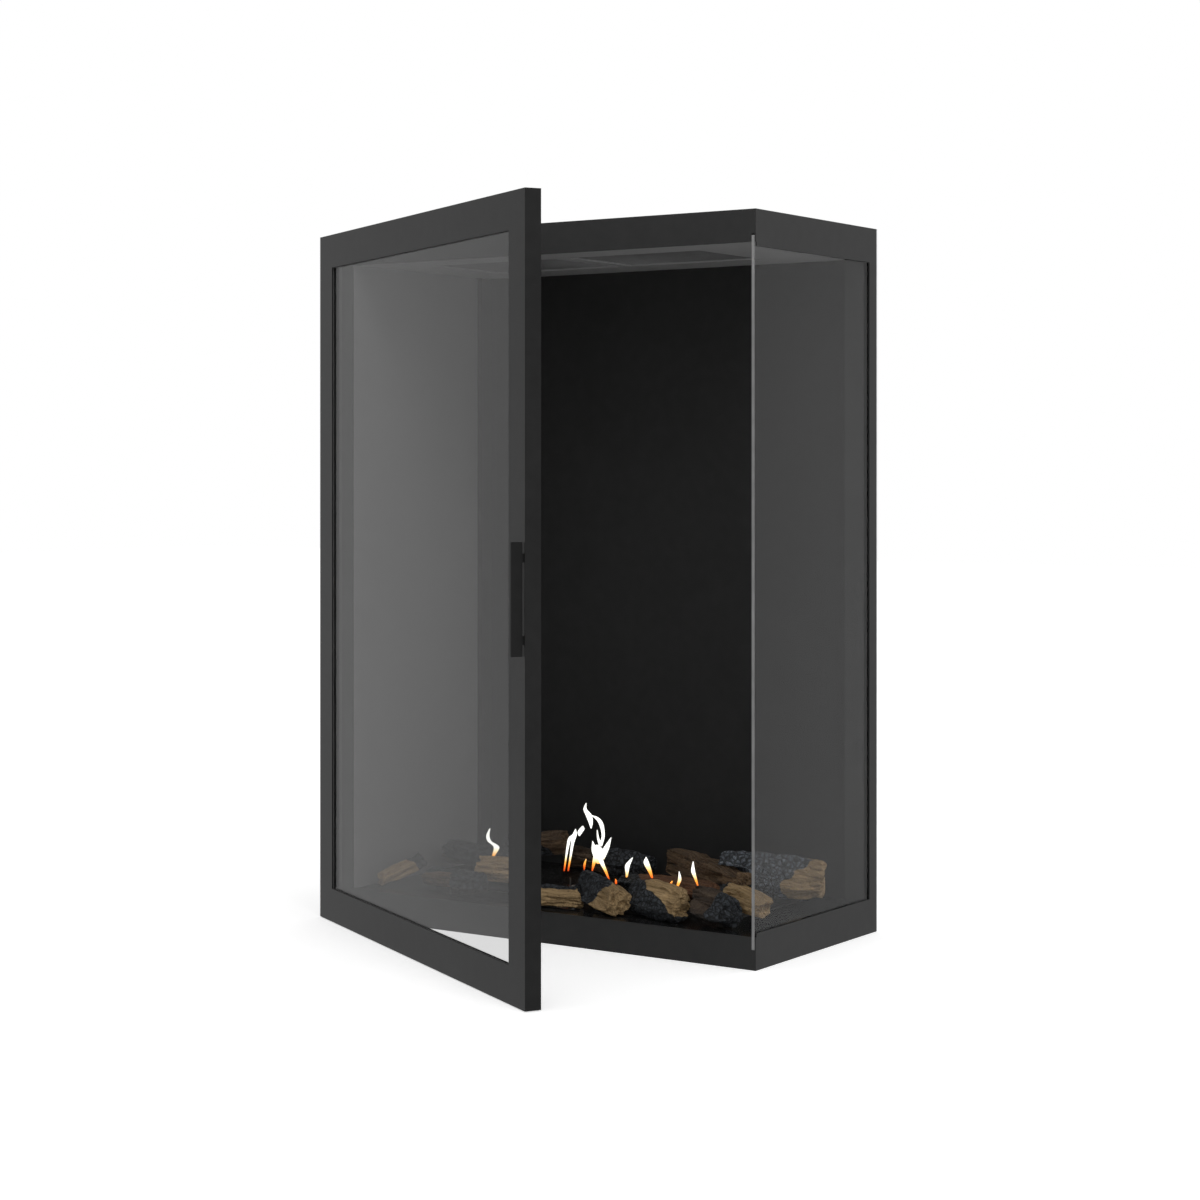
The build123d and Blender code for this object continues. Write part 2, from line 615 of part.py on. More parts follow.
def glass_retainers():
    x0, x1, z0, z1 = retainer_box()
    y0 = DOOR_FRONT + LIP_THICKNESS + TAPE + GLASS
    y1 = HINGE_Y - RETAINER_SETBACK
    foot_y = y0 + RETAINER
    low = z0 + RETAINER_SHORT
    high = z1 - RETAINER_SHORT
    strips = []
    for x, side in ((x0, 1), (x1, -1)):
        edge = sorted((x, x + side * RETAINER))
        foot = sorted((x, x + side * FRAME_LIP))
        strips.append(block(*edge, y0, y1, low, high) + block(*foot, y0, foot_y, low, high))
    left = x0 + FRAME_LIP + RETAINER_SHORT
    right = x1 - FRAME_LIP - RETAINER_SHORT
    for z, side in ((z0, 1), (z1, -1)):
        edge = sorted((z, z + side * RETAINER))
        foot = sorted((z, z + side * FRAME_LIP))
        strips.append(block(left, right, y0, y1, *edge) + block(left, right, y0, foot_y, *foot))
    for screw in retainer_screw_axes():
        strips = [strip - screw_shank(*screw) for strip in strips]
    return strips


def retainer_screw_axes():
    x0, x1, z0, z1 = retainer_box()
    y = (DOOR_FRONT + LIP_THICKNESS + TAPE + GLASS + RETAINER + HINGE_Y - RETAINER_SETBACK) / 2
    axes = []
    for i in range(RETAINER_SCREWS_SIDE):
        z = z0 + (i + 0.5) * (z1 - z0) / RETAINER_SCREWS_SIDE
        axes += [(x0, y, z, (1, 0, 0)), (x1, y, z, (-1, 0, 0))]
    for i in range(RETAINER_SCREWS_TOP):
        x = x0 + (i + 0.5) * (x1 - x0) / RETAINER_SCREWS_TOP
        axes += [(x, y, z0, (0, 0, 1)), (x, y, z1, (0, 0, -1))]
    return axes


def screw_shank(x, y, z, inward):
    start = Vector(x, y, z) - Vector(*inward) * FRAME_WALL
    plane = Plane(origin=start, z_dir=inward)
    return extrude(plane * Circle(RETAINER_SCREW), FRAME_WALL + RETAINER)


def screw_head(x, y, z, inward):
    plane = Plane(origin=Vector(x, y, z) + Vector(*inward) * RETAINER, z_dir=inward)
    return extrude(plane * Circle(RETAINER_SCREW_HEAD), RETAINER_SCREW_HEAD_HEIGHT)


def door_screws():
    screws = [screw_shank(*axis) + screw_head(*axis) for axis in retainer_screw_axes()]
    for z in handle_foot_heights():
        y0 = DOOR_FRONT - HANDLE_FOOT
        screws.append(rod_y(handle_middle(), y0, y0 + HANDLE_SCREW_LENGTH, z, HANDLE_SCREW))
    return screws


def door_gasket():
    return gasket_ring(HINGE_Y - GASKET_DEPTH, HINGE_Y)


def magnet_places():
    x = DOOR_RIGHT - MAGNET_FROM_LATCH
    return ((x, DOOR_BOTTOM + MAGNET_INSET), (x, DOOR_TOP - MAGNET_INSET))


def door_magnets():
    return [rod_y(x, HINGE_Y - MAGNET_LENGTH, HINGE_Y, z, MAGNET_RADIUS) for x, z in magnet_places()]


# Handle
def handle_middle():
    return DOOR_RIGHT - HANDLE_EDGE - HANDLE_THICKNESS / 2


def handle_foot_heights():
    reach = HANDLE_HEIGHT / 2 - HANDLE_FOOT_INSET
    return (BODY_HEIGHT / 2 - reach, BODY_HEIGHT / 2 + reach)


def door_handle():
    x0 = handle_middle() - HANDLE_THICKNESS / 2
    x1 = x0 + HANDLE_THICKNESS
    y0 = DOOR_FRONT - HANDLE_FOOT
    half = HANDLE_HEIGHT / 2
    fin = block(x0, x1, y0 - HANDLE_REACH, y0, BODY_HEIGHT / 2 - half, BODY_HEIGHT / 2 + half)
    for z in handle_foot_heights():
        fin += block(x0, x1, y0, DOOR_FRONT, z - HANDLE_FOOT_HEIGHT / 2, z + HANDLE_FOOT_HEIGHT / 2)
        fin -= rod_y(handle_middle(), y0, DOOR_FRONT, z, HANDLE_SCREW)
    return fin


# Hinges: the pin stands in the body's knuckle and the door's knuckle turns on it
def hinge_post(z0, z1, radius):
    return post(HINGE_X, HINGE_Y, z0, z1, radius)


def body_knuckles():
    knuckles = []
    for level in HINGE_HEIGHTS:
        top = level - WASHER
        low = level - KNUCKLE_LENGTH
        x1 = LEFT + SIDE_FLANGE - LEAF_CLEARANCE
        knuckle = hinge_post(low, top, KNUCKLE_RADIUS)
        knuckle += block(IN_LEFT, x1, IN_FRONT, IN_FRONT + LEAF, low, top)
        knuckles.append(knuckle - hinge_post(low, top, PIN_RADIUS))
    return knuckles


def hinge_pins():
    return [
        hinge_post(level - KNUCKLE_LENGTH, level + KNUCKLE_LENGTH - PIN_CAP - WASHER_PLAY, PIN_RADIUS)
        for level in HINGE_HEIGHTS
    ]


def hinge_washers():
    return [
        hinge_post(level - WASHER, level, KNUCKLE_RADIUS) - hinge_post(level - WASHER, level, PIN_RADIUS)
        for level in HINGE_HEIGHTS
    ]


def door_knuckles():
    knuckles = []
    for level in HINGE_HEIGHTS:
        low = level + WASHER_PLAY
        top = level + KNUCKLE_LENGTH
        x0 = HINGE_X + FRAME_WALL
        x1 = HINGE_X + GASKET_INSET - FRAME_WALL - LEAF_CLEARANCE
        y1 = HINGE_Y - FRAME_WALL
        knuckle = hinge_post(low, top, KNUCKLE_RADIUS) + block(x0, x1, y1 - LEAF, y1, low, top)
        knuckles.append(knuckle - hinge_post(low, top - PIN_CAP, PIN_RADIUS + PIN_PLAY))
    return knuckles


def notch_for_hinges(stile):
    for level in HINGE_HEIGHTS:
        low = level - KNUCKLE_LENGTH - KNUCKLE_CLEARANCE
        stile -= hinge_post(low, level + WASHER_PLAY, KNUCKLE_RADIUS + KNUCKLE_CLEARANCE)
        stile -= hinge_post(level + WASHER_PLAY, level + KNUCKLE_LENGTH, KNUCKLE_RADIUS)
    return stile


def cut_hinges(panel):
    for level in HINGE_HEIGHTS:
        top = level + KNUCKLE_LENGTH + KNUCKLE_CLEARANCE
        panel -= hinge_post(level, top, KNUCKLE_RADIUS + KNUCKLE_CLEARANCE)
        panel -= hinge_post(level - KNUCKLE_LENGTH, level, KNUCKLE_RADIUS)
    return panel


# Logs: each a tapered, faceted length, seated on the hearth, on the burner or on the logs laid before it
# Each log: its middle, length, heading, rise, radius, outline, turn and how flat it is. Lengths, rises
# and radii are shares of LOG_THICKNESS. A middle is a share of the hearth's width and depth, for a log
# that lies on the ground, or a step from the middle of the log that it leans on.
LOGS = {
    "log_back_left": ((0.135, 0.530), 3.14, -20, 0.15, 0.44, ROUND, 10, 1.0),
    "log_back_middle": ((0.430, 0.725), 3.75, -6, -0.03, 0.45, ROUND, 0, 1.0),
    "log_back_right": ((0.740, 0.530), 3.5, -18, -0.42, 0.63, WEDGE, 40, 1.0),
    "log_right_side": ((0.865, 0.630), 3.4, 26, -0.25, 0.76, ROUND, 15, 1.0),
    "log_hot_plank": ((0.690, 0.385), 3.4, -2, -0.1, 0.62, PLANK, 0, 0.8),
    "log_front_dark": ((0.889, 0.097), 1.55, -10, -0.12, 0.64, WEDGE, 100, 1.0),
    "log_front_charred": ((0.743, 0.143), 2.3, -17, -0.06, 0.62, SPLIT, 60, 1.0),
    "log_front_split": ((0.598, 0.150), 2.5, -31, -0.3, 0.63, WEDGE, 20, 1.0),
    "log_front_left": ((0.485, 0.100), 2.42, 18, 0.0, 0.43, SPLIT, 30, 1.0),
    "log_fork": (("log_front_dark", 0.56, 0.80, 0.20), 1.75, -12, -0.42, 0.46, SPLIT, 0, 1.0),
    "log_left_thick": ((0.308, 0.285), 2.0, 10, -0.05, 0.50, SPLIT, 45, 1.0),
    "log_left_dark": ((0.256, 0.155), 1.3, 27, 0.05, 0.45, ROUND, 20, 1.0),
    "log_left_brown": ((0.165, 0.255), 1.7, 14, -0.05, 0.42, SPLIT, 0, 1.0),
    "log_left_end": ((0.056, 0.200), 1.65, 62, 0.60, 0.33, SPLIT, 15, 1.0),
    "log_left_rear": (("log_back_left", 2.25, 0.49, 0.45), 2.24, 14, 0.3, 0.5, WEDGE, 60, 1.0),
}


def ground_level(x, y):
    over_burner = BURNER_LEFT < x < BURNER_RIGHT and BURNER_FRONT < y < BURNER_REAR
    return BURNER_TOP if over_burner else HEARTH


def hearth_point(u, v):
    return Vector(WALL_FACE + u * (GLASS_IN - WALL_FACE), FRONT + v * (BACK_FACE - FRONT), 0)


def log_sections(middle, length, heading, rise, radius, outline, turn, flat):
    angle = math.radians(heading)
    run = Vector(length * math.cos(angle), length * math.sin(angle), rise) * LOG_THICKNESS
    along = run.normalized()
    across = Vector(0, 0, 1).cross(along).normalized()
    sections = []
    for share, swell in zip(STATIONS, SWELL):
        plane = Plane(origin=middle + run * (share - 0.5), x_dir=across, z_dir=along)
        size = radius * swell * LOG_THICKNESS
        points = []
        for k, reach in enumerate(outline):
            angle = math.radians(360 * k / len(outline) + turn + TWIST * share)
            points.append((size * reach * math.cos(angle), size * flat * reach * math.sin(angle)))
        sections.append((plane, points))
    return sections


def clearance(sections):
    corners = [plane.from_local_coords(Vector(*point, 0)) for plane, points in sections for point in points]
    return min(corner.Z - ground_level(corner.X, corner.Y) for corner in corners)


def log_middle(place, sizes, middles):
    if isinstance(place[0], str):
        return middles[place[0]] + Vector(*place[1:]) * LOG_THICKNESS
    middle = hearth_point(*place)
    return middle - Vector(0, 0, clearance(log_sections(middle, *sizes)) + SEAT_DEPTH)


def log_set():
    lip = BURNER_LIP
    low = block(LEFT, RIGHT, FRONT, REAR, 0, HEARTH)
    low += block(BURNER_LEFT, BURNER_RIGHT, BURNER_FRONT, BURNER_REAR, HEARTH, BURNER_TOP)
    low += block(
        BURNER_LEFT - lip,
        BURNER_RIGHT + lip,
        BURNER_FRONT - lip,
        BURNER_REAR + lip,
        HEARTH,
        HEARTH + BURNER_WALL,
    )
    logs = {}
    middles = {}
    laid = [low]
    for name, (place, *sizes) in LOGS.items():
        middles[name] = log_middle(place, sizes, middles)
        sections = log_sections(middles[name], *sizes)
        log = loft([plane * Polygon(*points, align=None) for plane, points in sections], ruled=True)
        for other in laid:
            log -= other
        logs[name] = max(log.solids(), key=lambda solid: solid.volume)
        laid.append(logs[name])
    return logs


# The whole assembly, one file for each named piece
def gather():
    pieces = {
        "base_plate": base_plate(),
        "weld_nuts": weld_nuts(),
        "front_lower_band": front_lower_band(),
        "front_upper_band": front_upper_band(),
        "side_lower_rail": side_lower_rail(),
        "side_upper_rail": side_upper_rail(),
        "hearth_plate": hearth_plate(),
        "air_deflector": air_deflector(),
        "left_side_panel": left_side_panel(),
        "back_panel": back_panel(),
        "back_panel_screws": back_panel_screws(),
        "top_plate": top_plate(),
        "flue_collar": flue_collar(),
        "left_inner_wall": left_inner_wall(),
        "left_post": left_post(),
        "back_wall": back_wall(),
        "rear_right_post": rear_right_post(),
        "side_insulation": side_insulation(),
        "rear_insulation": rear_insulation(),
        "side_glass": side_glass(),
        "ceiling_panel": ceiling_panel(),
        "ceiling_grille_left": ceiling_grille(0),
        "ceiling_grille_right": ceiling_grille(1),
        "burner_box": burner_box(),
        "burner_cover": burner_cover(),
        "burner_pipes": burner_pipes(),
        "gas_manifold": gas_manifold(),
        "gas_inlet_fitting": gas_inlet_fitting(),
        "pilot_burner": pilot_burner(),
        "pilot_electrodes": pilot_electrodes(),
        "hinge_body_knuckles": body_knuckles(),
        "hinge_pins": hinge_pins(),
        "hinge_washers": hinge_washers(),
    }
    pieces.update(log_set())
    door = {
        **frame_members(),
        "door_glass": door_glass(),
        "door_glass_seal": door_glass_seal(),
        "glass_retainers": glass_retainers(),
        "door_screws": door_screws(),
        "door_gasket": door_gasket(),
        "door_magnets": door_magnets(),
        "door_handle": door_handle(),
        "hinge_door_knuckles": door_knuckles(),
    }
    hinge_axis = Axis((HINGE_X, HINGE_Y, 0), (0, 0, 1))
    for name, piece in door.items():
        solids = piece if isinstance(piece, list) else [piece]
        pieces[name] = [solid.rotate(hinge_axis, -DOOR_OPEN) for solid in solids]
    return pieces


os.makedirs("parts", exist_ok=True)
for name, piece in gather().items():
    shape = Compound(children=piece) if isinstance(piece, list) and len(piece) > 1 else piece
    if isinstance(shape, list):
        shape = shape[0]
    export_step(shape, f"parts/{name}.step")
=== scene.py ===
import json
import math

import bmesh
import bpy
import numpy as np
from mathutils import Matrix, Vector, noise


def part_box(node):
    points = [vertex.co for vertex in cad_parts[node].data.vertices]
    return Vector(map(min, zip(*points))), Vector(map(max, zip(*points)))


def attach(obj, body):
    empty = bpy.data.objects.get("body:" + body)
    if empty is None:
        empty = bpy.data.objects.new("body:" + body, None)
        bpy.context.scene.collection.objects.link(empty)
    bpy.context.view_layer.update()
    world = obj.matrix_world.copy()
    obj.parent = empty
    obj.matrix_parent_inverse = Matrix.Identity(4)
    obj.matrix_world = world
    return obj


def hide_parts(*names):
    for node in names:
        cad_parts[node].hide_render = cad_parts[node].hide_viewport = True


# Corner fireplace: powder-coated steel, ceramic glass, a satin liner, a log set and its flames.
# Metres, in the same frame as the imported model.
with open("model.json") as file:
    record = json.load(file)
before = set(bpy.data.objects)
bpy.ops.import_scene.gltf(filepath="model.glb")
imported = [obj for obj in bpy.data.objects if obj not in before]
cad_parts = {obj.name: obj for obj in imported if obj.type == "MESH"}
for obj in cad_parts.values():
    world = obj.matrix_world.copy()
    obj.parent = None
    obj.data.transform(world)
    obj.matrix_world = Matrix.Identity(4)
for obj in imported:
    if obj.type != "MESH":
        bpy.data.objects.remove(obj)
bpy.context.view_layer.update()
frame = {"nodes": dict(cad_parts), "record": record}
nodes = frame["nodes"]
scene = bpy.context.scene

# Camera, room and floor
CAMERA_PLACE = (1.8494, -2.7274, 0.6027)
CAMERA_TURN = 34.17
CAMERA_LENS = 74.13
CAMERA_SENSOR = 36.0
CAMERA_SHIFT = -0.1072
ROOM_LIGHT = 0.75
BACKGROUND = 1.0
FLOOR_REACH = 12
FLOOR_LIFT = 0.45

# Lamps: place, the point each one faces, and power
LAMP_SIZE = 1.6
LAMPS = {
    "left_lamp": ((-2.2, -2.6, 2.4), (0, 0, 0.5), 8),
    "right_lamp": ((2.6, -1.6, 2.6), (0, 0, 0.3), 26),
}

# Fine grain of the coats, and of brushed sheet
COAT_DEPTH = 0.00004
BRUSH_DEPTH = 0.00002
BRUSH_SCALE = 1200.0
BRUSH_STRETCH = 40.0

# Side pane's bare edge: how far the dressed skin stands off the glass, and its rounding
EDGE_SKIN = 0.0004
EDGE_ROUNDING = EDGE_SKIN * 0.4

# Log carving: the carved mesh's step, what joins at its seams, and how far each unevenness goes
LOG_VOXEL = 0.0015
SEAM = 0.00005
RIDGE = 0.0024
LUMP = 0.0016
SWELLING = 0.0022
SPLIT_DEPTH = 0.0040
CELL_DEPTH = 0.0020
DEEPEST = 0.007
HIGHEST = 0.003
SPLINTER_REACH = 0.012
SPLINTERED_FROM = 0.72

# How tightly each unevenness repeats, along a log and in the two directions across it
RIDGE_GRAIN = (16, 90, 90)
LUMP_GRAIN = (26, 34, 34)
SWELLING_GRAIN = (11, 15, 15)
SPLIT_GRAIN = (9, 75, 75)
CELL_GRAIN = (34, 62, 62)
FINE_SPLINTERS = (0, 150, 150)
COARSE_SPLINTERS = (0, 55, 55)

# Logs: wood, the way in which the charring lies, how far it reaches (-1 nowhere, 1 all over), and how much
# of the upper side is bark
LOGS = {
    "log_back_left": ("grey", (0.5, -0.2, 0.6), 0.6, 0.7),
    "log_back_middle": ("brown", (1.0, 0.0, 0.2), 0.1, 0.8),
    "log_back_right": ("rind", (0.2, 0.0, -1.0), -0.5, 0.5),
    "log_right_side": ("ashen", (-1.0, -0.1, 0.1), 0.5, 0.2),
    "log_hot_plank": ("red", (-1.0, 0.0, 0.0), -0.6, 0.2),
    "log_front_dark": ("dark", (1.0, -0.3, -0.2), -0.35, 0.8),
    "log_front_charred": ("tan", (-1.0, 0.0, -0.9), 0.2, 0.0),
    "log_front_split": ("tan", (-1.0, 0.0, 0.6), 0.05, 0.1),
    "log_front_left": ("tan", (0.0, 0.0, 1.0), -0.7, 0.0),
    "log_fork": ("tan", (-1.0, 0.0, 0.0), -0.8, 0.1),
    "log_left_thick": ("tan", (-1.0, 0.0, 0.0), -0.8, 0.0),
    "log_left_dark": ("dark", (0.0, 0.0, 1.0), 0.5, 0.4),
    "log_left_brown": ("rind", (0.0, 0.0, 1.0), -0.6, 0.2),
    "log_left_end": ("tan", (0.0, 1.0, 0.5), -0.5, 0.0),
    "log_left_rear": ("brown", (-1.0, 0.0, -0.5), 0.4, 0.6),
}

# Hollows: place along a log and width, both as shares of half its length, depth, and the way it is pressed
HOLLOWS = {
    "log_back_right": [(-0.15, 0.16, 0.007, (0, 0, -1)), (0.75, 0.3, 0.006, (0, 0, -1))],
    "log_fork": [(-0.75, 0.3, 0.004, (0, 0, -1))],
    "log_front_split": [(-0.05, 0.2, 0.004, (0.3, 0, -1))],
}

# Clefts: where a log's end opens, the cleft's width as a share of half the log's thickness, and its depth
FORKS = {"log_fork": (0.25, 0.30, 0.010)}

# Woods: the dark and light tones of the grain, and how much lighter the charcoal is painted, where above 1 is
# a painted highlight
WOODS = {
    # A lit copy of the tan wood, its charcoal painted lighter as a highlight.
    "ashen": ((0.19, 0.125, 0.060), (0.50, 0.35, 0.18), 2.4),
    "dark": ((0.012, 0.010, 0.009), (0.055, 0.046, 0.038), 1.0),
    "rind": ((0.035, 0.022, 0.013), (0.24, 0.155, 0.085), 1.0),
    "tan": ((0.19, 0.125, 0.060), (0.50, 0.35, 0.18), 1.0),
    "brown": ((0.050, 0.032, 0.020), (0.17, 0.11, 0.065), 1.0),
    # This wood's reddish tone is the fire's glow painted into the hot plank's colour.
    "red": ((0.065, 0.030, 0.016), (0.21, 0.105, 0.055), 1.0),
    "grey": ((0.030, 0.027, 0.025), (0.11, 0.09, 0.07), 1.0),
}

# Bark and soot tones run from dark to pale over their grain; the palest soot specks are ash flecks and
# painted highlights, and the gaps between blocks of charcoal are darkened with painted shade
BARK_TONES = [(0.35, (0.012, 0.009, 0.007)), (0.55, (0.05, 0.034, 0.023)), (0.7, (0.11, 0.08, 0.055))]
SOOT_ASH_AND_HIGHLIGHT_TONES = [(0.38, (0.014, 0.016, 0.018)), (0.58, (0.048, 0.054, 0.062)), (0.74, (0.17, 0.19, 0.21))]
CRACK_SHADE_TONE = 0.003

# Flames: each strand has its place from front to back (y), then (x, z, radius) points from its root to its
# tip, all in millimetres
FLAMES = {
    "left_curl": (-26, [(-35.8, 70.0, 1.1), (-31.7, 90.4, 1.5), (-28.5, 108.0, 2.3), (-25.2, 118.9, 3.1),
                        (-23.6, 127.0, 0.5)]),
    "left_leg": (-26, [(-42.3, 69.4, 1.1), (-39.0, 88.4, 1.3), (-35.8, 104.7, 2.0), (-32.5, 114.3, 2.5),
                       (-26.0, 120.1, 1.6)]),
    "spark": (-26, [(-17.6, 118.2, 0.8), (-16.7, 122.9, 3.5), (-13.4, 127.8, 3.7), (-12.1, 131.9, 0.7)]),
    "crest": (-31, [(4.8, 130.6, 0.7), (4.0, 139.1, 3.2), (0.8, 148.1, 4.5), (-4.8, 155.6, 2.5),
                    (-3.2, 163.7, 0.5)]),
    "shoulder": (-31, [(19.2, 108.6, 2.9), (24.0, 122.2, 2.2), (20.8, 137.8, 3.2), (12.8, 145.7, 3.4),
                       (3.2, 148.3, 1.9)]),
    "inner_strand": (-31, [(20.0, 108.7, 2.1), (16.0, 118.9, 1.6), (14.4, 129.4, 0.5)]),
    "burst_left_spike": (-36, [(19.4, 90.8, 4.0), (13.8, 102.2, 4.2), (10.6, 115.1, 0.5)]),
    "burst_right_spike": (-36, [(24.2, 92.6, 4.7), (32.1, 107.1, 4.3), (40.0, 122.2, 0.5)]),
    "burst_body": (-38, [(21.0, 86.7, 2.6), (21.5, 93.6, 6.6), (20.7, 103.1, 8.6), (19.2, 110.8, 2.1)]),
    "burst_left_leg": (-38, [(11.2, 75.9, 0.9), (14.4, 88.0, 2.5), (17.6, 101.5, 2.9)]),
    "burst_right_leg": (-41, [(41.0, 65.9, 0.8), (34.7, 78.4, 2.2), (28.3, 89.7, 3.2), (24.4, 102.5, 3.4)]),
    "thin": (-31, [(-6.4, 74.7, 0.7), (-5.6, 82.7, 1.6), (-3.2, 89.5, 0.5)]),
    "middle_left": (-51, [(72.8, 63.7, 0.7), (74.8, 78.2, 1.7), (75.6, 90.0, 3.4), (79.8, 96.8, 2.3),
                          (83.7, 101.7, 0.5)]),
    "middle_right": (-51, [(115.4, 74.2, 0.8), (110.8, 85.4, 2.6), (105.1, 96.5, 3.9), (104.6, 104.2, 0.5)]),
    "low_spark": (-56, [(60.5, 63.9, 0.5), (61.3, 68.5, 1.7), (60.5, 72.4, 0.5)]),
    "hook": (-81, [(156.8, 70.7, 0.6), (160.6, 77.4, 1.8), (163.6, 82.8, 0.9)]),
    "right_left": (-81, [(168.1, 68.0, 0.6), (172.3, 78.5, 1.9), (175.0, 86.4, 2.3), (174.1, 95.8, 0.5)]),
    "right_tall": (-76, [(200.0, 76.7, 0.6), (195.6, 87.6, 1.9), (191.9, 97.4, 2.7), (191.9, 109.4, 0.5)]),
    "behind_door": (-46, [(-144.5, 72.3, 0.9), (-142.9, 83.2, 2.2), (-137.7, 95.8, 4.3), (-149.6, 102.9, 3.0),
                          (-152.1, 110.8, 2.4), (-148.8, 119.9, 0.7)]),
    "behind_door_low": (-46, [(-156.7, 71.2, 0.5), (-157.5, 75.2, 1.1), (-158.0, 78.5, 0.5)]),
}

# Glow in millimetres: it starts a little under a strand's root, or at the low height when the root is above
# that, and runs through all its tones over the span
FLAME_ROOT = 2.0
FLAME_LOW = 72.0
FLAME_SPAN = 38.0
FLAME_TONES = [
    (0.0, (0.40, 0.02, 0.0)),
    (0.18, (0.95, 0.13, 0.01)),
    (0.38, (1.0, 0.42, 0.06)),
    (0.54, (1.0, 0.84, 0.50)),
    (0.66, (1.0, 1.0, 0.95)),
]

# Strands: rings between two points, corners around a ring, its depth for a width of one, the least radius
# in millimetres, and the millimetres in a metre
STRAND_STEPS = 5
STRAND_CORNERS = 10
STRAND_DEPTH = 0.7
STRAND_LEAST = 0.25
MM = 1000


# Node helpers
def add(tree, kind, **values):
    """A new node; each value goes to the input of that name, or else to the node's own setting."""
    node = tree.nodes.new(kind)
    for name, value in values.items():
        if name in node.inputs:
            node.inputs[name].default_value = value
        else:
            setattr(node, name, value)
    return node


def wire(tree, *pairs):
    for out, into in pairs:
        tree.links.new(out, into)


def grey(value):
    return (value, value, value)


def ramp(tree, factor, stops):
    node = add(tree, "ShaderNodeValToRGB")
    elements = node.color_ramp.elements
    while len(elements) < len(stops):
        elements.new(1.0)
    for element, (spot, colour) in zip(elements, stops):
        element.position = spot
        element.color = (*colour, 1.0)
    wire(tree, (factor, node.inputs["Fac"]))
    return node.outputs["Color"]


def between(tree, factor, low, high):
    node = add(tree, "ShaderNodeMapRange")
    node.inputs["To Min"].default_value = low
    node.inputs["To Max"].default_value = high
    wire(tree, (factor, node.inputs["Value"]))
    return node.outputs["Result"]


def blend_colours(tree, factor, first, second):
    node = add(tree, "ShaderNodeMix", data_type="RGBA")
    share, a, b = node.inputs[0], node.inputs[6], node.inputs[7]
    for socket, colour in ((a, first), (b, second)):
        if isinstance(colour, tuple):
            socket.default_value = (*colour, 1.0)
        else:
            wire(tree, (colour, socket))
    wire(tree, (factor, share))
    return node.outputs[2]


def maths(tree, operation, first, second):
    node = add(tree, "ShaderNodeMath", operation=operation)
    for socket, value in zip(node.inputs, (first, second)):
        if isinstance(value, (int, float)):
            socket.default_value = value
        else:
            wire(tree, (value, socket))
    return node.outputs[0]


def bump(tree, height, distance, strength=1.0):
    node = add(tree, "ShaderNodeBump", Strength=strength, Distance=distance)
    wire(tree, (height, node.inputs["Height"]))
    return node.outputs["Normal"]


# Textures that several finishes share
def effect_group(name, numbers):
    group = bpy.data.node_groups.new(name, "ShaderNodeTree")
    group.interface.new_socket("Vector", in_out="INPUT", socket_type="NodeSocketVector")
    for number in numbers:
        group.interface.new_socket(number, in_out="INPUT", socket_type="NodeSocketFloat")
    group.interface.new_socket("Mask", in_out="OUTPUT", socket_type="NodeSocketFloat")
    return group, group.nodes.new("NodeGroupInput"), group.nodes.new("NodeGroupOutput")


def build_fine_grain():
    group, inward, outward = effect_group("fine_grain", ["Scale"])
    coarse = add(group, "ShaderNodeTexNoise", Detail=3.0, Roughness=0.6)
    fine = add(group, "ShaderNodeTexNoise", Detail=1.0)
    finer = maths(group, "MULTIPLY", inward.outputs["Scale"], 7.0)
    for layer, scale in ((coarse, inward.outputs["Scale"]), (fine, finer)):
        wire(group, (inward.outputs["Vector"], layer.inputs["Vector"]), (scale, layer.inputs["Scale"]))
    both = maths(group, "ADD", coarse.outputs["Fac"], fine.outputs["Fac"])
    wire(group, (maths(group, "MULTIPLY", both, 0.5), outward.inputs["Mask"]))
    return group


def build_fibre_streaks():
    group, inward, outward = effect_group("fibre_streaks", ["Scale", "Stretch"])
    flatten = add(group, "ShaderNodeVectorMath", operation="MULTIPLY")
    squeeze = add(group, "ShaderNodeCombineXYZ", Y=1.0, Z=1.0)
    streaks = add(group, "ShaderNodeTexNoise", Detail=5.0, Roughness=0.65, Distortion=0.3)
    wire(group, (maths(group, "DIVIDE", 1.0, inward.outputs["Stretch"]), squeeze.inputs["X"]))
    wire(group, (inward.outputs["Vector"], flatten.inputs[0]), (squeeze.outputs[0], flatten.inputs[1]))
    wire(group, (flatten.outputs[0], streaks.inputs["Vector"]))
    wire(group, (inward.outputs["Scale"], streaks.inputs["Scale"]))
    wire(group, (streaks.outputs["Fac"], outward.inputs["Mask"]))
    return group


def build_char_cracks():
    group, inward, outward = effect_group("char_cracks", ["Scale", "Width"])
    shift = add(group, "ShaderNodeTexNoise", Scale=60.0, Detail=2.0)
    warped = add(group, "ShaderNodeVectorMath", operation="MULTIPLY_ADD")
    warped.inputs[1].default_value = (0.012, 0.012, 0.012)
    wire(group, (inward.outputs["Vector"], shift.inputs["Vector"]))
    wire(group, (shift.outputs["Color"], warped.inputs[0]), (inward.outputs["Vector"], warped.inputs[2]))
    cells = add(group, "ShaderNodeTexVoronoi", feature="DISTANCE_TO_EDGE")
    wire(group, (warped.outputs[0], cells.inputs["Vector"]), (inward.outputs["Scale"], cells.inputs["Scale"]))
    share = maths(group, "DIVIDE", cells.outputs["Distance"], inward.outputs["Width"])
    wire(group, (maths(group, "MINIMUM", share, 1.0), outward.inputs["Mask"]))
    return group


FINE_GRAIN = build_fine_grain()
FIBRE_STREAKS = build_fibre_streaks()
CHAR_CRACKS = build_char_cracks()


def effect(tree, group, vector, **values):
    node = add(tree, "ShaderNodeGroup", node_tree=group)
    for name, value in values.items():
        node.inputs[name].default_value = value
    wire(tree, (vector, node.inputs["Vector"]))
    return node.outputs["Mask"]


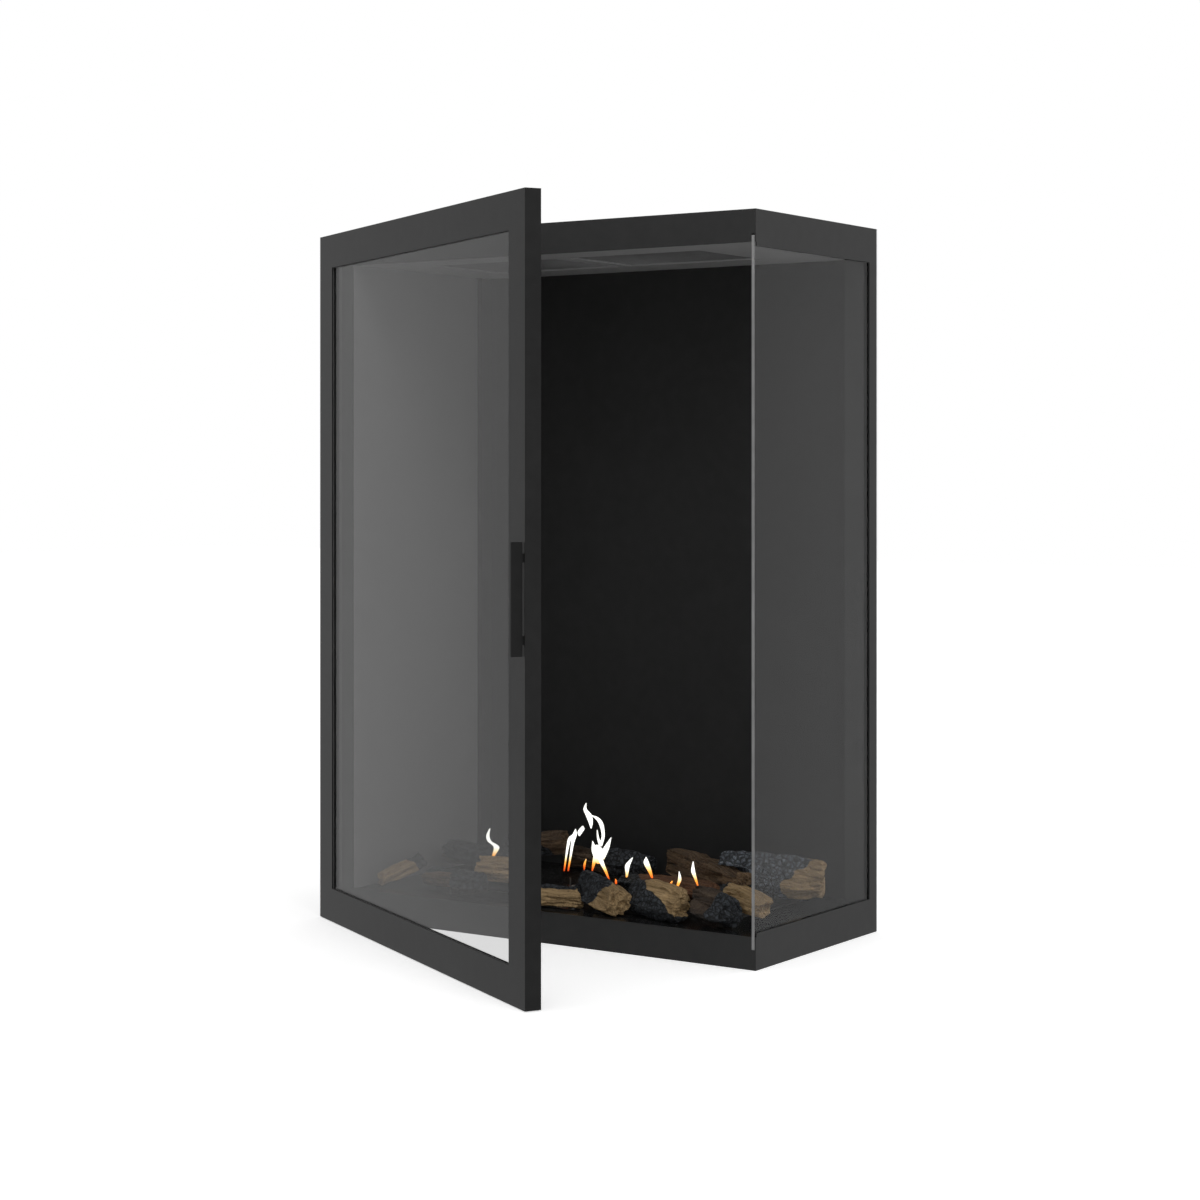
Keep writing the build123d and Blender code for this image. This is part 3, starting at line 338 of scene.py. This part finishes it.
# Materials
def new_material(name, **sockets):
    material = bpy.data.materials.new(name)
    material.use_nodes = True
    tree = material.node_tree
    shader = tree.nodes["Principled BSDF"]
    for socket, value in sockets.items():
        shader.inputs[socket.replace("_", " ")].default_value = value
    return material, tree, shader


def object_place(tree):
    return add(tree, "ShaderNodeTexCoord").outputs["Object"]


def mesh_value(tree, name, kind="Fac"):
    return add(tree, "ShaderNodeAttribute", attribute_name=name).outputs[kind]


def coated_steel(name, low, high, roughness, ior=1.35, scale=900.0):
    material, tree, shader = new_material(name, IOR=ior)
    place = object_place(tree)
    grain = effect(tree, FINE_GRAIN, place, Scale=scale)
    cloud = effect(tree, FINE_GRAIN, place, Scale=9.0)
    wire(tree, (ramp(tree, cloud, [(0.35, low), (0.7, high)]), shader.inputs["Base Color"]))
    wire(tree, (between(tree, grain, roughness - 0.05, roughness + 0.07), shader.inputs["Roughness"]))
    wire(tree, (bump(tree, grain, COAT_DEPTH, 0.5), shader.inputs["Normal"]))
    return material


def brushed_metal(name, low, high, roughness):
    material, tree, shader = new_material(name, Metallic=1.0)
    streaks = effect(tree, FIBRE_STREAKS, object_place(tree), Scale=BRUSH_SCALE, Stretch=BRUSH_STRETCH)
    wire(tree, (ramp(tree, streaks, [(0.3, low), (0.7, high)]), shader.inputs["Base Color"]))
    wire(tree, (between(tree, streaks, roughness - 0.08, roughness + 0.08), shader.inputs["Roughness"]))
    wire(tree, (bump(tree, streaks, BRUSH_DEPTH, 0.4), shader.inputs["Normal"]))
    return material


def spangled_zinc():
    material, tree, shader = new_material("zinc_sheet", Metallic=1.0)
    spangle = add(tree, "ShaderNodeTexVoronoi", Scale=170.0)
    wire(tree, (object_place(tree), spangle.inputs["Vector"]))
    shade = ramp(tree, spangle.outputs["Color"], [(0.2, (0.45, 0.46, 0.47)), (0.8, (0.53, 0.54, 0.55))])
    wire(tree, (shade, shader.inputs["Base Color"]))
    wire(tree, (between(tree, spangle.outputs["Distance"], 0.36, 0.5), shader.inputs["Roughness"]))
    return material


def ceramic_glass(name, tint, ior):
    material, tree, shader = new_material(name, IOR=ior, Transmission_Weight=1.0, Roughness=0.0)
    film = effect(tree, FINE_GRAIN, object_place(tree), Scale=3.0)
    low = tuple(share * 0.985 for share in tint)
    wire(tree, (ramp(tree, film, [(0.3, low), (0.7, tint)]), shader.inputs["Base Color"]))
    return material


def fibre_rope():
    material, tree, shader = new_material("fibre_rope", Sheen_Weight=0.2)
    weave = add(tree, "ShaderNodeTexWave", Scale=260.0, Distortion=2.0, Detail=2.0)
    wire(tree, (object_place(tree), weave.inputs["Vector"]))
    strands = weave.outputs["Fac"]
    wire(tree, (ramp(tree, strands, [(0.2, grey(0.03)), (0.8, grey(0.09))]), shader.inputs["Base Color"]))
    wire(tree, (between(tree, strands, 0.75, 0.95), shader.inputs["Roughness"]))
    wire(tree, (bump(tree, strands, 0.0004), shader.inputs["Normal"]))
    return material


def pressed_board():
    material, tree, shader = new_material("pressed_board")
    grain = effect(tree, FINE_GRAIN, object_place(tree), Scale=220.0)
    tone = ramp(tree, grain, [(0.3, (0.58, 0.55, 0.48)), (0.7, (0.78, 0.75, 0.68))])
    wire(tree, (tone, shader.inputs["Base Color"]))
    wire(tree, (between(tree, grain, 0.8, 0.95), shader.inputs["Roughness"]))
    wire(tree, (bump(tree, grain, 0.0003), shader.inputs["Normal"]))
    return material


def glazed_porcelain():
    material, tree, shader = new_material("glazed_porcelain", Coat_Weight=0.6)
    grain = effect(tree, FINE_GRAIN, object_place(tree), Scale=300.0)
    tone = ramp(tree, grain, [(0.3, (0.05, 0.045, 0.04)), (0.7, (0.10, 0.09, 0.08))])
    wire(tree, (tone, shader.inputs["Base Color"]))
    wire(tree, (between(tree, grain, 0.18, 0.28), shader.inputs["Roughness"]))
    return material


def log_surface(name, dark, light, charcoal_lift):
    """Split wood, bark and charcoal on one log. The log's own place, charring and bark come from its mesh."""
    material, tree, shader = new_material(name, Specular_IOR_Level=0.25)
    place = mesh_value(tree, "log_place", "Vector")
    char = mesh_value(tree, "char")
    bark = mesh_value(tree, "bark")
    fibre = effect(tree, FIBRE_STREAKS, place, Scale=420.0, Stretch=14.0)
    broad = effect(tree, FIBRE_STREAKS, place, Scale=90.0, Stretch=5.0)
    cracks = effect(tree, CHAR_CRACKS, place, Scale=150.0, Width=0.22)
    flecks = effect(tree, FINE_GRAIN, place, Scale=260.0)

    wood = ramp(tree, fibre, [(0.33, dark), (0.66, light)])
    stain = tuple(part * 0.45 for part in dark)
    worn = blend_colours(tree, between(tree, broad, -0.2, 0.75), wood, stain)
    rind = blend_colours(tree, bark, worn, ramp(tree, broad, BARK_TONES))
    # The charcoal's palest specks are ash flecks and painted highlights; the cracks between its blocks are
    # darkened with painted shade.
    soot_ash_and_highlight_tones = [(spot, tuple(charcoal_lift * part for part in tone)) for spot, tone in SOOT_ASH_AND_HIGHLIGHT_TONES]
    charcoal = blend_colours(tree, cracks, grey(CRACK_SHADE_TONE * charcoal_lift * charcoal_lift), ramp(tree, flecks, soot_ash_and_highlight_tones))
    ragged = maths(tree, "ADD", char, between(tree, broad, -0.35, 0.35))
    edge = ramp(tree, ragged, [(0.42, grey(0.0)), (0.58, grey(1.0))])
    wire(tree, (blend_colours(tree, edge, rind, charcoal), shader.inputs["Base Color"]))

    wire(tree, (between(tree, flecks, 0.7, 0.95), shader.inputs["Roughness"]))
    heights = maths(tree, "ADD", fibre, maths(tree, "MULTIPLY", cracks, 0.8))
    wire(tree, (bump(tree, heights, 0.0011), shader.inputs["Normal"]))
    return material


def flame_light():
    material, tree, shader = new_material(
        "flame_light", Roughness=1.0, Specular_IOR_Level=0.0, Emission_Strength=1.5
    )
    rise = mesh_value(tree, "rise")
    thickness = ramp(tree, rise, [(0.0, grey(0.35)), (0.2, grey(0.8)), (0.5, grey(1.0))])
    wire(tree, (ramp(tree, rise, FLAME_TONES), shader.inputs["Emission Color"]))
    wire(tree, (thickness, shader.inputs["Alpha"]))
    wire(tree, (ramp(tree, rise, [(0.0, grey(0.02)), (1.0, grey(0.05))]), shader.inputs["Base Color"]))
    return material


BLACK_COAT = coated_steel("black_powder_coat", grey(0.026), grey(0.030), 0.42, ior=1.2)
# The door's copy of the black powder coat is darker than the body's coat: painted shade on the same paint.
SHADED_DOOR_COAT = coated_steel("shaded_door_powder_coat", grey(0.012), grey(0.016), 0.42, ior=1.2)
HANDLE_COAT = coated_steel("handle_powder_coat", grey(0.012), grey(0.015), 0.5, ior=1.15)
LINER_FLAT = coated_steel("liner_flat_black", grey(0.023), grey(0.026), 0.9, ior=1.05, scale=500.0)
# The satin black liner's base is lifted to mid grey: a painted reflection of the bright room.
LINER_SATIN_PAINTED_REFLECTION = coated_steel("liner_satin_black_painted_reflection", grey(0.135), grey(0.15), 0.5, ior=1.2, scale=500.0)
HEARTH_COAT = coated_steel("hearth_satin_black", grey(0.010), grey(0.014), 0.18, ior=1.4)
# The satin black ceiling and its grilles are lightened to mid grey: a painted reflection of the bright room.
CEILING_COAT_PAINTED_REFLECTION = coated_steel("ceiling_satin_black_painted_reflection", grey(0.22), grey(0.24), 0.5, ior=1.2, scale=500.0)
GRILLE_COAT_PAINTED_REFLECTION = coated_steel("grille_satin_painted_reflection", grey(0.12), grey(0.14), 0.6, ior=1.2)
SCREW_COAT = coated_steel("dark_screws", grey(0.006), grey(0.01), 0.5, ior=1.2)
BARE_EDGE = coated_steel("bare_glass_edge", grey(0.2), grey(0.26), 0.5, ior=1.3)
STAINLESS = brushed_metal("stainless_steel", grey(0.38), grey(0.52), 0.34)
# Stainless darkened to near black for the burner box.
DARKENED_STAINLESS = brushed_metal("darkened_stainless", grey(0.05), grey(0.09), 0.5)
POLISHED = brushed_metal("polished_stainless", grey(0.78), grey(0.88), 0.12)
BRASS = brushed_metal("plain_brass", (0.55, 0.36, 0.13), (0.72, 0.50, 0.21), 0.3)
NICKEL = brushed_metal("nickel_plate", grey(0.40), grey(0.52), 0.3)
ZINC = spangled_zinc()
DOOR_GLASS = ceramic_glass("door_ceramic_glass", grey(0.69), 1.165)
SIDE_GLASS = ceramic_glass("side_ceramic_glass", grey(0.86), 1.158)
ROPE = fibre_rope()
BOARD = pressed_board()
PORCELAIN = glazed_porcelain()
LOG_SURFACES = {name: log_surface(f"log_{name}", *tones) for name, tones in WOODS.items()}
FLAME = flame_light()

# Finish of each material slot
FINISHES = {
    "black_steel": BLACK_COAT,
    "handle_black": HANDLE_COAT,
    "liner_black": LINER_FLAT,
    "liner_satin": LINER_SATIN_PAINTED_REFLECTION,
    "hearth_steel": HEARTH_COAT,
    "stainless": STAINLESS,
    "polished_steel": POLISHED,
    "zinc": ZINC,
    "brass": BRASS,
    "board": BOARD,
    "seal_fibre": ROPE,
    "porcelain": PORCELAIN,
    "magnet": NICKEL,
    "glass": DOOR_GLASS,
    "log_split": LOG_SURFACES["tan"],
    "log_charred": LOG_SURFACES["grey"],
}

# Pieces whose tone differs from the rest of their slot
OWN_FINISHES = {
    "side_glass": SIDE_GLASS,
    "ceiling_panel": CEILING_COAT_PAINTED_REFLECTION,
    "ceiling_grille_left": GRILLE_COAT_PAINTED_REFLECTION,
    "ceiling_grille_right": GRILLE_COAT_PAINTED_REFLECTION,
    "burner_box": DARKENED_STAINLESS,
    "door_screws": SCREW_COAT,
    "door_top_rail": SHADED_DOOR_COAT,
    "door_bottom_rail": SHADED_DOOR_COAT,
    "door_hinge_stile": SHADED_DOOR_COAT,
    "door_latch_stile": SHADED_DOOR_COAT,
}


def paint(piece, material):
    piece.data.materials.clear()
    piece.data.materials.append(material)


for part in frame["record"]["subparts"]:
    finish = FINISHES[part["material_slot"]]
    paint(nodes[part["node"]], OWN_FINISHES.get(part["node"], finish))


# Logs
def baked(piece):
    """Apply the live modifiers of a piece and return it with its plain mesh."""
    graph = bpy.context.evaluated_depsgraph_get()
    mesh = bpy.data.meshes.new_from_object(piece.evaluated_get(graph))
    piece.modifiers.clear()
    piece.data = mesh
    return piece


def fine_copy(node, name):
    """A copy of a log's solid in small even faces, ready for carving."""
    mesh = nodes[node].data.copy()
    shell = bmesh.new()
    shell.from_mesh(mesh)
    bmesh.ops.remove_doubles(shell, verts=shell.verts, dist=SEAM)
    shell.to_mesh(mesh)
    shell.free()
    piece = bpy.data.objects.new(name, mesh)
    scene.collection.objects.link(piece)
    remesh = piece.modifiers.new("remesh", "REMESH")
    remesh.mode = "VOXEL"
    remesh.voxel_size = LOG_VOXEL
    return baked(piece)


def log_frame(points):
    """Middle and axes of a log: its length first, then the two directions across it."""
    middle = points.mean(0)
    _, _, axes = np.linalg.svd(points - middle, full_matrices=False)
    if axes[0][0] + axes[0][1] < 0:
        axes[0] *= -1
    return middle, axes


def smooth_step(value, low, high):
    share = np.clip((value - low) / (high - low), 0, 1)
    return share * share * (3 - 2 * share)


def point_noise(points, seed, octaves=2):
    shift = Vector((seed * 3.7, seed * 1.3, seed * 2.1))
    return np.array([noise.fractal(Vector(p) + shift, 1.0, 2.0, octaves) for p in points])


def cell_gaps(points, seed):
    """How far each point is from the nearest gap between two blocks of charcoal."""
    shift = Vector((seed * 1.9, seed * 4.1, seed * 2.7))
    gaps = []
    for point in points:
        near = noise.voronoi(Vector(point) + shift)[0]
        gaps.append(near[1] - near[0])
    return np.array(gaps)


def read_rows(rows, key):
    values = np.zeros(len(rows) * 3)
    rows.foreach_get(key, values)
    return values.reshape(-1, 3)


def store(mesh, name, kind, values):
    attribute = mesh.attributes.new(name, kind, "POINT")
    key = "vector" if kind == "FLOAT_VECTOR" else "value"
    attribute.data.foreach_set(key, np.asarray(values, np.float32).ravel())


def carve_log(node, wood, char_way, char_reach, bark_share, seed):
    piece = fine_copy(node, node.replace("log_", "carved_log_"))
    mesh = piece.data
    points = read_rows(mesh.vertices, "co")
    normals = read_rows(mesh.vertex_normals, "vector")
    middle, axes = log_frame(points)
    local = (points - middle) @ axes.T
    half = np.abs(local).max(0)
    share = local / half
    along = np.clip((np.abs(share[:, 0]) - SPLINTERED_FROM) / (1 - SPLINTERED_FROM), 0, 1)
    end_face = np.abs(normals @ axes[0])

    # Ridges, lumps and swellings everywhere, splits in the wood, and gaps between the charcoal's blocks
    ridges = point_noise(local * RIDGE_GRAIN, seed, 3)
    lumps = point_noise(local * LUMP_GRAIN, seed + 5)
    broad = point_noise(local * SWELLING_GRAIN, seed + 7)
    splits = np.abs(point_noise(local * SPLIT_GRAIN, seed + 9))
    cells = cell_gaps(local * CELL_GRAIN, seed)
    way = np.array(char_way) / np.linalg.norm(char_way)
    lean = ((points - middle) / np.abs(points - middle).max(0)) @ way
    char = smooth_step(lean + char_reach + 0.35 * lumps, -0.12, 0.12)
    raised = RIDGE * ridges + LUMP * lumps + SWELLING * broad
    raised -= SPLIT_DEPTH * (1 - smooth_step(splits, 0.0, 0.16)) * (1 - char)
    raised -= CELL_DEPTH * (1 - smooth_step(cells, 0.0, 0.3)) * char
    carved = points + normals * (np.clip(raised, -DEEPEST, HIGHEST) * (1 - 0.6 * end_face))[:, None]

    # Hollows and the cleft
    for centre, width, depth, press in HOLLOWS.get(node, []):
        facing = np.clip(-normals @ np.array(press), 0, 1)
        fall = np.exp(-(((share[:, 0] - centre) / width) ** 2)) * facing
        carved += np.array(press) * (depth * fall)[:, None]
    if node in FORKS:
        start, wide, cleft = FORKS[node]
        across = np.exp(-((local[:, 2] / (wide * half[2])) ** 2))
        opening = smooth_step(share[:, 0], start - 0.4, start + 0.3) * across
        carved -= normals * (cleft * opening)[:, None]

    # Splintered ends
    fine = point_noise(local * FINE_SPLINTERS, seed + 13)
    coarse = point_noise(local * COARSE_SPLINTERS, seed + 17)
    reach = SPLINTER_REACH * np.clip(0.25 + 0.5 * fine + 0.75 * coarse, 0, 1.4)
    pull = -np.sign(share[:, 0]) * along * reach
    carved += pull[:, None] * axes[0]
    mesh.vertices.foreach_set("co", carved.ravel())
    mesh.update()

    upper = smooth_step(normals[:, 2] + 0.4 * lumps, -0.5, 0.3)
    bark = bark_share * upper * (1 - smooth_step(end_face, 0.5, 0.8))
    store(mesh, "log_place", "FLOAT_VECTOR", local + seed * 0.37)
    store(mesh, "char", "FLOAT", char)
    store(mesh, "bark", "FLOAT", bark)
    paint(piece, LOG_SURFACES[wood])
    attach(piece, "body")
    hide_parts(node)


for seed, (node, looks) in enumerate(LOGS.items()):
    carve_log(node, *looks, seed)


# Bare front edge of the side pane
def build_pane_edge():
    low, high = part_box("side_glass")
    mesh = bpy.data.meshes.new("side_pane_edge")
    shell = bmesh.new()
    bmesh.ops.create_cube(shell, size=1.0)
    for vertex in shell.verts:
        vertex.co.x = low[0] if vertex.co.x < 0 else high[0]
        vertex.co.y = low[1] - EDGE_SKIN if vertex.co.y < 0 else low[1] + EDGE_SKIN
        vertex.co.z = low[2] if vertex.co.z < 0 else high[2]
    bmesh.ops.bevel(shell, geom=list(shell.edges), offset=EDGE_ROUNDING, segments=2, affect="EDGES")
    shell.to_mesh(mesh)
    shell.free()
    edge = bpy.data.objects.new("side_pane_edge", mesh)
    scene.collection.objects.link(edge)
    paint(edge, BARE_EDGE)
    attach(edge, "body")


build_pane_edge()


# Flames
def curve_points(stations):
    """Points on one smooth curve through the stations, so that a strand bends without corners."""
    rows = np.array(stations, float)
    rows = np.vstack([2 * rows[0] - rows[1], rows, 2 * rows[-1] - rows[-2]])
    found = []
    for a, b, c, d in zip(rows, rows[1:], rows[2:], rows[3:]):
        for t in np.arange(STRAND_STEPS) / STRAND_STEPS:
            bend = 2 * a - 5 * b + 4 * c - d
            turn = 3 * b - a - 3 * c + d
            found.append(0.5 * (2 * b + (c - a) * t + bend * t**2 + turn * t**3))
    return found + [rows[-2]]


def flame_strand(shell, layer, y, stations):
    low = min(stations[0][1] - FLAME_ROOT, FLAME_LOW)
    rings = []
    for x, z, radius in curve_points(stations):
        wide = max(radius, STRAND_LEAST) / MM
        ring = []
        for corner in range(STRAND_CORNERS):
            angle = 2 * math.pi * corner / STRAND_CORNERS
            across = x / MM + wide * math.cos(angle)
            behind = y / MM + STRAND_DEPTH * wide * math.sin(angle)
            vertex = shell.verts.new((across, behind, z / MM))
            vertex[layer] = (z - low) / FLAME_SPAN
            ring.append(vertex)
        rings.append(ring)
    for lower, upper in zip(rings, rings[1:]):
        for corner in range(STRAND_CORNERS):
            after = (corner + 1) % STRAND_CORNERS
            shell.faces.new((lower[corner], lower[after], upper[after], upper[corner]))
    shell.faces.new(rings[0][::-1])
    shell.faces.new(rings[-1])


def build_flames():
    shell = bmesh.new()
    layer = shell.verts.layers.float.new("rise")
    for y, stations in FLAMES.values():
        flame_strand(shell, layer, y, stations)
    bmesh.ops.recalc_face_normals(shell, faces=shell.faces)
    mesh = bpy.data.meshes.new("flames")
    shell.to_mesh(mesh)
    shell.free()
    flames = bpy.data.objects.new("flames", mesh)
    scene.collection.objects.link(flames)
    paint(flames, FLAME)
    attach(flames, "body")


build_flames()


# Stage: a pale floor, a white room and soft lamps
def build_floor():
    """A pale floor that the panes and coats mirror as white, as they do the room, so no horizon shows."""
    reach = FLOOR_REACH
    mesh = bpy.data.meshes.new("floor")
    corners = [(-reach, -reach, 0), (reach, -reach, 0), (reach, reach, 0), (-reach, reach, 0)]
    mesh.from_pydata(corners, [], [(0, 1, 2, 3)])
    floor = bpy.data.objects.new("floor", mesh)
    scene.collection.objects.link(floor)
    material, tree, shader = new_material(
        "pale_floor", Roughness=0.9, Specular_IOR_Level=0.0, Emission_Strength=1.0
    )
    cloud = effect(tree, FINE_GRAIN, object_place(tree), Scale=2.0)
    pale = ramp(tree, cloud, [(0.3, grey(0.86)), (0.7, grey(0.9))])
    rays = add(tree, "ShaderNodeLightPath")
    mirrored = maths(tree, "MAXIMUM", rays.outputs["Is Glossy Ray"], rays.outputs["Is Transmission Ray"])
    wire(tree, (blend_colours(tree, mirrored, pale, grey(0.0)), shader.inputs["Base Color"]))
    lifted = maths(tree, "MULTIPLY", rays.outputs["Is Camera Ray"], FLOOR_LIFT)
    seen = maths(tree, "MAXIMUM", mirrored, lifted)
    wire(tree, (ramp(tree, seen, [(0.0, grey(0.0)), (1.0, grey(1.0))]), shader.inputs["Emission Color"]))
    paint(floor, material)


def build_room():
    world = bpy.data.worlds.new("room")
    scene.world = world
    world.use_nodes = True
    tree = world.node_tree
    rays = add(tree, "ShaderNodeLightPath")
    seen = maths(tree, "MAXIMUM", rays.outputs["Is Camera Ray"], rays.outputs["Is Glossy Ray"])
    seen = maths(tree, "MAXIMUM", seen, rays.outputs["Is Transmission Ray"])
    backdrop = tree.nodes["Background"]
    backdrop.inputs["Color"].default_value = (1, 1, 1, 1)
    wire(tree, (between(tree, seen, ROOM_LIGHT, BACKGROUND), backdrop.inputs["Strength"]))


def soft_lamp(name, place, target, power):
    light = bpy.data.lights.new(name, "AREA")
    light.shape = "DISK"
    light.size = LAMP_SIZE
    light.energy = power
    lamp = bpy.data.objects.new(name, light)
    lamp.location = place
    lamp.rotation_euler = (Vector(target) - Vector(place)).to_track_quat("-Z", "Y").to_euler()
    scene.collection.objects.link(lamp)


def build_camera():
    lens = bpy.data.cameras.new("camera")
    lens.lens = CAMERA_LENS
    lens.sensor_width = CAMERA_SENSOR
    lens.shift_y = CAMERA_SHIFT
    camera = bpy.data.objects.new("camera", lens)
    camera.location = CAMERA_PLACE
    camera.rotation_euler = (math.radians(90), 0, math.radians(CAMERA_TURN))
    scene.collection.objects.link(camera)
    scene.camera = camera


build_floor()
build_room()
for name, (place, target, power) in LAMPS.items():
    soft_lamp(name, place, target, power)
build_camera()
scene.view_settings.view_transform = "Standard"
